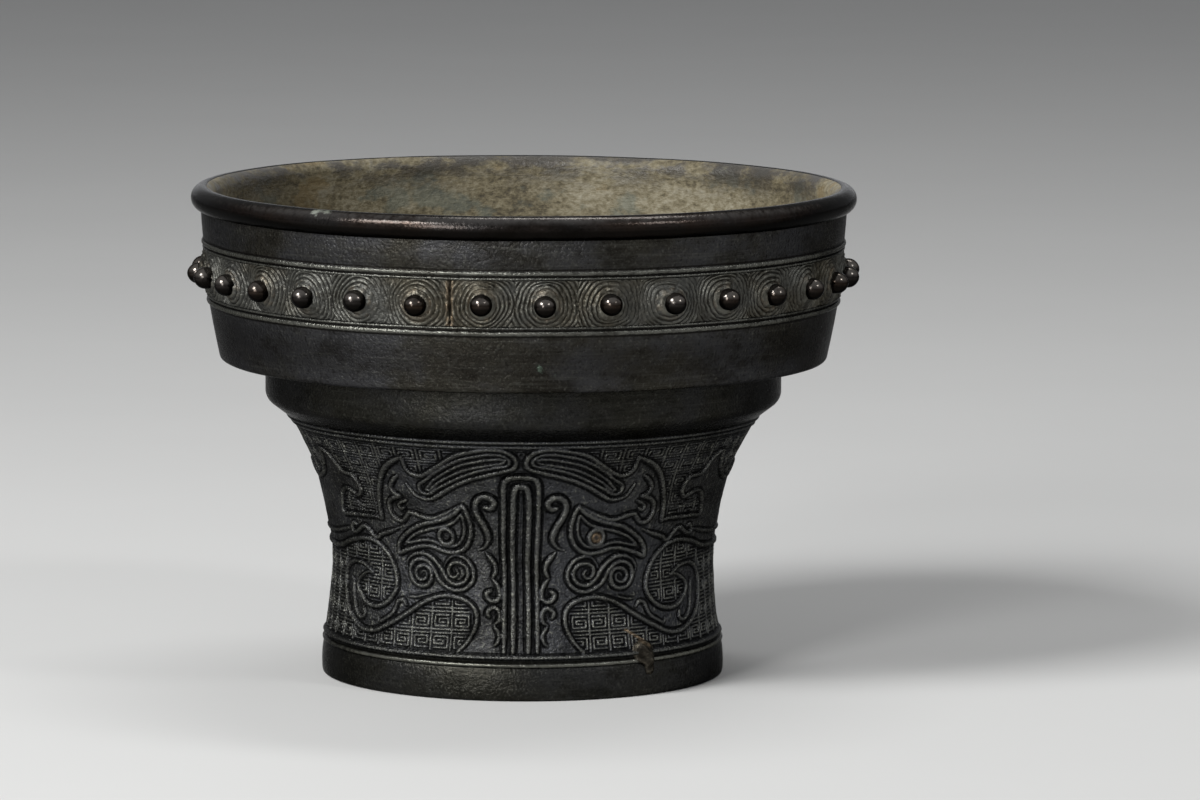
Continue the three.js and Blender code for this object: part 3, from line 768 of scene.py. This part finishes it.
def patch_swell(distance, direction):
    """How far the patch stands out from the wall, and its relief, at a place on it."""
    share = distance / np.interp(direction, patch_directions, patch_edge, period=math.tau)
    ridge = 0.9 * hump(distance * np.sin(direction + 0.75), 1.1)
    lumps = 0.16 * np.sin(2.4 * distance + 3 * direction) + 0.1 * np.cos(5 * direction + distance)
    swell = (0.45 + ridge) * np.clip(1 - share**2, 0, 1) ** 0.55
    outline = 0.9 * hump(share - 0.86, 0.09)
    return swell + lumps * (1 - share) * share * 3 - 0.05, outline + 0.5 * ridge - 0.35


patch = wall_plate("casting_patch_lump", PATCH_TURN, PATCH_HEIGHT, patch_directions, patch_edge, PATCH_ROWS,
                   patch_wall, patch_swell, PATCH_DEPTH, patch_bronze)
patch_points = np.array([vertex.co for vertex in patch.data.vertices]) / MM
patch_across = (np.arctan2(patch_points[:, 0], -patch_points[:, 1]) - PATCH_TURN) * PATCH_RADIUS
from_upper_edge = patch_points[:, 2] - 11.5 + 0.5 * patch_across
mark(patch.data, "bare", 0.8 * hump(from_upper_edge, 0.4) * (patch_across < 0.8))
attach(patch, "root")
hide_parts("casting_patch")


# Basin: the cast bowl, turned smooth outside and left as cast inside. It sits on the stem's collar with a
# spigot inside it. A broad bead and a finer one, with a dark groove between them, run above and below its
# band, which is left lower for the rings.
BAND_LOW = 86.25
BAND_HIGH = 96.45
BAND_BED = 1.1
basin_profile = (
    [(52.8, 67.3, 0), (55.0, 67.3, 0), (55.0, 71.2, 0), (57.0, 71.25, 0), (66.5, 71.3, 0)]
    + bow((67.5, 72.5), 1.15, -85, -5, 6)
    # Painted shade: the lower wall, under the beads and the band, is darkened.
    + [(69.3, 75.5, 0, -0.28), (70.2, 80.0, 0, -0.28), (70.85, 83.7, 0, -0.1)]
    + [(70.9, 84.05, 0, -1), (71.05, 84.3, 0)]
    + bow((70.95, 84.75), 0.57, -60, 60, 8, 0, 1)
    + [(70.95, 85.3, 0, -1), (70.95, 85.6, 0, -1)]
    + bow((71.2, 85.93), 0.28, -60, 60, 6, 0, 0.6)
    + [(71.2, BAND_LOW, 0), (71.2 - BAND_BED, BAND_LOW, 0), (72.0 - BAND_BED, BAND_HIGH, 0)]
    + [(72.0, BAND_HIGH, 0)]
    + bow((72.15, 96.77), 0.28, -60, 60, 6, 0, 0.6)
    + [(71.95, 97.08, 0, -1), (71.95, 97.35, 0, -1)]
    + bow((72.1, 97.92), 0.57, -60, 60, 8, 0, 1)
    + [(72.25, 98.4, 0), (72.2, 98.65, 0, -1), (72.35, 99.0, 0), (72.6, 102.0, 0), (72.8, 105.0, 0)]
    + [(72.75, 105.6, 0, -1), (71.5, 105.9, 0), (69.64, 105.9, 1), (69.6, 104.0, 1), (69.25, 98.0, 1)]
    + [(68.2, 85.0, 1), (67.2, 79.5, 1)]
    + bow((64.0, 77.6), 3.0, -5, -85, 6, 1)
    + [(58.0, 74.35, 1), (53.4, 74.3, 1), (52.8, 73.7, 1)]
)
basin_tones = ((0.009, 0.008, 0.007), (0.037, 0.037, 0.039), (0.027, 0.025, 0.020), (0.12, 0.12, 0.105))
basin_verdigris = [
    ((4.3, -69.8, 77.0), 1.6, (0.12, 0.17, 0.13)),
    ((7.6, -69.3, 75.2), 1.0, (0.10, 0.14, 0.11)),
]
basin_bronze = bronze("turned bronze", basin_tones, dullness=0.31, grit=0.35, brushed=0.35, wear=0.9,
                      verdigris=basin_verdigris)
basin = turned("basin_shell", basin_profile, [basin_bronze, olive_crust], sway=0.1)
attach(basin, "root")
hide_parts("basin")


# Band: the ground between the beads, cast in the mould with rings round every boss. Each boss has one
# square of it, and the squares meet halfway between the bosses.
BOSS_COUNT = 32
BOSS_PHASE = math.radians(4.4)
BOSS_HEIGHT = 90.95
BAND_FOOT = 84.9
BAND_FOOT_RADIUS = 71.15
BAND_SLOPE = 0.0811
RING_PITCH = 0.96
RING_RISE = 0.24
RING_STEPS = 6  # rows of points to a ring
RING_ROWS = 47
DRIFT_SEED = 5  # keeps the drift of the rings the same in each run
FIRST_RING = 2.6  # mm from a boss's middle
RINGS_FROM = 2.4  # nearer to the boss than this, its hill is plain
RINGS_SET_IN = 0.9  # mm over which the rings reach their full depth
HILL_HEIGHT = 1.5
HILL_TOP = 1.8  # mm from a boss's middle to where its hill starts to fall
HILL_FALL = 4.9  # and from there to its foot
HILL_SINK = 0.3  # the ground between the hills lies this much under the band's wall
RING_PLATE_DEPTH = 1.0
SQUARE_SIDE_STEPS = 22
SQUARE_LEVEL_STEPS = 28
JOIN_TURN = BOSS_PHASE - 1.5 * math.tau / BOSS_COUNT


def ring_tree(name):
    """Geometry nodes that stand copies of a piece round the vase, each a little off its place and size."""
    tree = bpy.data.node_groups.new(name, "GeometryNodeTree")
    inputs = (("Piece", "Geometry"), ("Count", "Int"), ("Step", "Float"), ("First angle", "Float"),
              ("Unevenness", "Float"), ("Stray", "Float"), ("Finish", "Material"))
    for title, kind in inputs:
        tree.interface.new_socket(title, in_out="INPUT", socket_type="NodeSocket" + kind)
    tree.interface.new_socket("Ring", in_out="OUTPUT", socket_type="NodeSocketGeometry")

    def node(kind, settings=None, sockets=None):
        made = tree.nodes.new(kind)
        for key, value in (settings or {}).items():
            setattr(made, key, value)
        for key, value in (sockets or {}).items():
            if isinstance(value, bpy.types.NodeSocket):
                tree.links.new(value, made.inputs[key])
            else:
                made.inputs[key].default_value = value
        return made.outputs

    given = node("NodeGroupInput")
    points = node("GeometryNodePoints", None, {"Count": given["Count"]})
    turn = node("ShaderNodeMath", {"operation": "MULTIPLY_ADD"},
                {0: node("GeometryNodeInputIndex")[0], 1: given["Step"], 2: given["First angle"]})
    back = node("ShaderNodeMath", {"operation": "MULTIPLY"}, {0: given["Stray"], 1: -1.0})
    stray = node("FunctionNodeRandomValue", {"data_type": "FLOAT"},
                 {2: back[0], 3: given["Stray"], "Seed": 8})
    strayed = node("ShaderNodeMath", {"operation": "ADD"}, {0: turn[0], 1: stray[1]})
    euler = node("ShaderNodeCombineXYZ", None, {"Z": strayed[0]})
    rotation = node("FunctionNodeEulerToRotation", None, {0: euler[0]})
    least = node("ShaderNodeMath", {"operation": "SUBTRACT"}, {0: 1.0, 1: given["Unevenness"]})
    most = node("ShaderNodeMath", {"operation": "ADD"}, {0: 1.0, 1: given["Unevenness"]})
    size = node("FunctionNodeRandomValue", {"data_type": "FLOAT"}, {2: least[0], 3: most[0], "Seed": 5})
    placed = node("GeometryNodeInstanceOnPoints", None, {
        "Points": points[0], "Instance": given["Piece"], "Rotation": rotation[0], "Scale": size[1]})
    real = node("GeometryNodeRealizeInstances", None, {0: placed[0]})
    done = node("GeometryNodeSetMaterial", None, {"Geometry": real[0], "Material": given["Finish"]})
    node("NodeGroupOutput", None, {0: done[0]})
    return tree


def stood_round(piece, count, first_angle, material, unevenness=0.0, stray=0.0):
    """Turns a piece into a row of its copies round the vase, as a plain mesh."""
    tree = ring_tree(piece.name + " ring")
    modifier = piece.modifiers.new("ring", "NODES")
    modifier.node_group = tree
    values = {"Count": count, "Step": math.tau / BOSS_COUNT, "First angle": first_angle,
              "Unevenness": unevenness, "Stray": stray, "Finish": material}
    for item in tree.interface.items_tree:
        if item.in_out == "INPUT" and item.name in values:
            modifier[item.identifier] = values[item.name]
    shown = piece.evaluated_get(bpy.context.evaluated_depsgraph_get())
    plain = bpy.data.meshes.new_from_object(shown)
    piece.modifiers.remove(modifier)
    piece.data = plain


def band_wall(height):
    """The band's ground, in mm from the axis."""
    return BAND_FOOT_RADIUS + (height - BAND_FOOT) * BAND_SLOPE


def ring_swell(distance, direction):
    """Broad rings with narrow grooves between them, on a low hill that is plain close to its boss."""
    wave = 2 * abs(np.cos((distance - FIRST_RING) * math.pi / RING_PITCH)) ** 0.7 - 1
    wave = 1 - (1 - wave) * np.clip((distance - RINGS_FROM) / RINGS_SET_IN, 0, 1)
    hill = HILL_HEIGHT * np.clip(1 - (distance - HILL_TOP) / HILL_FALL, 0, 1) ** 1.5
    return RING_RISE * wave + hill - HILL_SINK, 0.7 * wave - 0.1


def worn_unevenly(piece):
    """Shifts and flattens the rings here and there, leaves dirt close to the bosses, and opens the join of
    the mould beside the middle boss.
    """
    noise.seed_set(DRIFT_SEED)
    count = len(piece.data.vertices)
    points = np.empty(count * 3, np.float32)
    relief = np.empty(count, np.float32)
    piece.data.vertices.foreach_get("co", points)
    piece.data.attributes["relief"].data.foreach_get("value", relief)
    points = points.reshape(-1, 3) / MM
    drift = np.array([noise.noise_vector(point * 0.13) for point in points])
    dents = np.array([noise.noise(point * 0.9) for point in points])
    radius = np.hypot(points[:, 0], points[:, 1])
    turn = np.arctan2(points[:, 0], -points[:, 1])
    inside = np.clip(np.minimum(points[:, 2] - BAND_LOW, BAND_HIGH - points[:, 2]) / 1.5, 0, 1)
    from_join = (turn - JOIN_TURN) * radius + 0.5 * drift[:, 0] + 0.25 * dents
    crack = hump(from_join, 0.2)
    lips = hump(abs(from_join) - 0.5, 0.28) * (0.6 + dents)
    outside = radius > band_wall(points[:, 2]) - 0.9
    faded = np.clip(0.3 - 1.0 * drift[:, 2] - 0.8 * dents, 0, 0.85)
    radius -= np.where(outside, RING_RISE * np.clip(relief, -0.9, 0.7) / 0.8 * faded, 0)
    radius += np.where(outside, 0.14 * dents + 0.25 * drift[:, 2] - 0.4 * crack + 0.3 * lips, 0)
    turn += (1.1 * drift[:, 0] + 0.15 * dents) / 72.0
    points[:, 2] += (1.0 * drift[:, 1] + 0.15 * dents) * inside
    points[:, 0] = radius * np.sin(turn)
    points[:, 1] = -radius * np.cos(turn)
    piece.data.vertices.foreach_set("co", (points * MM).astype(np.float32).ravel())
    worn_relief = (relief * (1 - faded) - 1.5 * crack).astype(np.float32)
    piece.data.attributes["relief"].data.foreach_set("value", worn_relief)
    from_boss = ((turn - BOSS_PHASE) * BOSS_COUNT / math.tau + 0.5) % 1 - 0.5
    from_boss = np.hypot(from_boss * math.tau / BOSS_COUNT * radius, points[:, 2] - BOSS_HEIGHT)
    dirt = hump(from_boss - 3.0, 0.8) * np.clip(0.1 + dents + drift[:, 1], 0, 0.6)
    mark(piece.data, "bare", np.clip(0.6 * lips + 0.3 * dirt, 0, 0.5))
    piece.data.update()


half_square = band_wall(BOSS_HEIGHT) * math.pi / BOSS_COUNT
above = BAND_HIGH - BOSS_HEIGHT
below = BOSS_HEIGHT - BAND_LOW
upper_corner = math.atan2(above, half_square)
lower_corner = math.atan2(below, half_square)
square_sides = [
    (-lower_corner, upper_corner, SQUARE_SIDE_STEPS),
    (upper_corner, math.pi - upper_corner, SQUARE_LEVEL_STEPS),
    (math.pi - upper_corner, math.pi + lower_corner, SQUARE_SIDE_STEPS),
    (math.pi + lower_corner, math.tau - lower_corner, SQUARE_LEVEL_STEPS),
]
square_directions = np.concatenate([np.linspace(*side, endpoint=False) for side in square_sides])
to_level = np.where(np.sin(square_directions) > 0, above, below)
square_edge = np.minimum(
    half_square / np.maximum(abs(np.cos(square_directions)), 1e-9),
    to_level / np.maximum(abs(np.sin(square_directions)), 1e-9),
)
square_rows = FIRST_RING - RING_PITCH + np.arange(RING_ROWS) * RING_PITCH / RING_STEPS
ring_tones = ((0.009, 0.008, 0.006), (0.060, 0.060, 0.055), (0.056, 0.050, 0.037), (0.18, 0.18, 0.155))
ring_bronze = bronze("olive bronze", ring_tones, dullness=0.38, grit=0.35, brushed=0.0, wear=0.5, metal=0.85)
for i, side in enumerate(["right", "left"]):
    ground = wall_plate("ring_ground_" + side, 0, BOSS_HEIGHT, square_directions, square_edge, square_rows,
                        band_wall, ring_swell, RING_PLATE_DEPTH, ring_bronze)
    stood_round(ground, BOSS_COUNT // 2, BOSS_PHASE + i * math.pi, ring_bronze)
    worn_unevenly(ground)
    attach(ground, "root")
    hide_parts("basin")


# Bosses: 32 domed studs of the same bronze, each let into the wall in the middle of its rings. Their upper
# halves are painted lighter as a painted sheen, and their undersides and feet darker as painted shade.
BOSS_SIDES = 28
BOSS_DOME = [  # mm from its axis and out from the wall
    (2.25, -1.0), (2.33, 0.4), (2.42, 1.7), (2.33, 2.6), (1.95, 3.4), (1.35, 4.0), (0.65, 4.38), (0.0, 4.5)]
BOSS_SET_IN = 0.15  # mm that a dome stands in the wall's face
BOSS_UNEVENNESS = 0.003
BOSS_STRAY = 0.006  # radians
boss_tones = ((0.004, 0.0035, 0.003), (0.021, 0.0185, 0.017), (0.025, 0.017, 0.012), (0.11, 0.10, 0.09))
# Its rubbed tone gives the bosses' painted sheen, and its hollows' tone their painted shade.
boss_bronze = bronze("rubbed bronze", boss_tones, dullness=0.2, grit=0.04, brushed=0.0, wear=0.85)


def boss_mesh():
    """One domed stud, pointing towards the front at its place on the wall."""
    dome = smooth_line(BOSS_DOME, 2)
    angle = np.arange(BOSS_SIDES) * math.tau / BOSS_SIDES
    across = dome[:, :1] * np.cos(angle)
    up = BOSS_HEIGHT + dome[:, :1] * np.sin(angle)
    out = -band_wall(BOSS_HEIGHT) + BOSS_SET_IN - dome[:, 1:] + 0 * angle
    points = np.stack([across, out, up], -1).reshape(-1, 3) * MM
    number = np.arange(len(dome) * BOSS_SIDES).reshape(-1, BOSS_SIDES)
    following = np.roll(number, -1, 1)
    faces = np.stack([number[:-1], following[:-1], following[1:], number[1:]], -1).reshape(-1, 4).tolist()
    faces.append(number[0, ::-1].tolist())
    mesh = bpy.data.meshes.new("bosses")
    mesh.from_pydata(points.tolist(), [], faces)
    # Painted sheen and shade: relief rises from the dome's underside to its top and drops at its foot.
    mark(mesh, "relief", 1.7 * (up - BOSS_HEIGHT) / 2.4 + np.interp(dome[:, 1:], [1.2, 2.4], [-0.7, 0]))
    weld(mesh)
    mesh.shade_smooth()
    return mesh


bosses = put_in_scene("bosses", boss_mesh())
stood_round(bosses, BOSS_COUNT, BOSS_PHASE, boss_bronze, BOSS_UNEVENNESS, BOSS_STRAY)
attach(bosses, "root")
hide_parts(*[f"boss_{i:02d}" for i in range(1, BOSS_COUNT + 1)])


# Rim bead: the rolled lip round the basin's edge, of the same bronze, dark with reddish brown stains. Its
# top is painted lighter as a painted sheen, and its underside darker as painted shade. Two pale green
# spots of corrosion sit on its front, and three pale spots on the far side of its top.
BEAD_CENTRE = (72.3, 107.75)
BEAD_RADIUS = 2.72
bead_tones = ((0.004, 0.0035, 0.003), (0.018, 0.0165, 0.016), (0.022, 0.016, 0.013), (0.11, 0.104, 0.098))
bead_pale_spots = [
    ((-44.2, -58.4, 110.3), 2.6, (0.42, 0.44, 0.38)),
    ((-42.0, -60.0, 110.3), 2.0, (0.36, 0.38, 0.32)),
    ((-30.6, 65.5, 110.4), 3.0, (0.40, 0.35, 0.30)),
    ((-34.0, 63.8, 110.4), 3.0, (0.38, 0.34, 0.29)),
    ((-47.9, 52.7, 110.2), 2.4, (0.30, 0.27, 0.20)),
]
# Its rubbed tone gives the bead's painted sheen, and its hollows' tone its painted shade.
bead_bronze = bronze("handled bronze", bead_tones, dullness=0.21, grit=0.08, brushed=0.05, wear=0.7,
                     verdigris=bead_pale_spots)
bead_outside = bow(BEAD_CENTRE, BEAD_RADIUS, -80, 100, 24)
bead_profile = (
    # Painted sheen and shade: the relief rises with height, lighter on the top and darker underneath.
    [(radius, height, slot, 1.1 * (height - 108.3) / 2.5) for radius, height, slot, _ in bead_outside]
    + bow(BEAD_CENTRE, BEAD_RADIUS, 108, 180, 10, 1)
    + [(69.58, 107.0, 1), (69.63, 105.93, 1), (72.6, 105.93, 0)]
)
bead = turned("rolled_rim", bead_profile, [bead_bronze, olive_crust], 60.0, sway=0.1)
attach(bead, "root")
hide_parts("rim_bead")
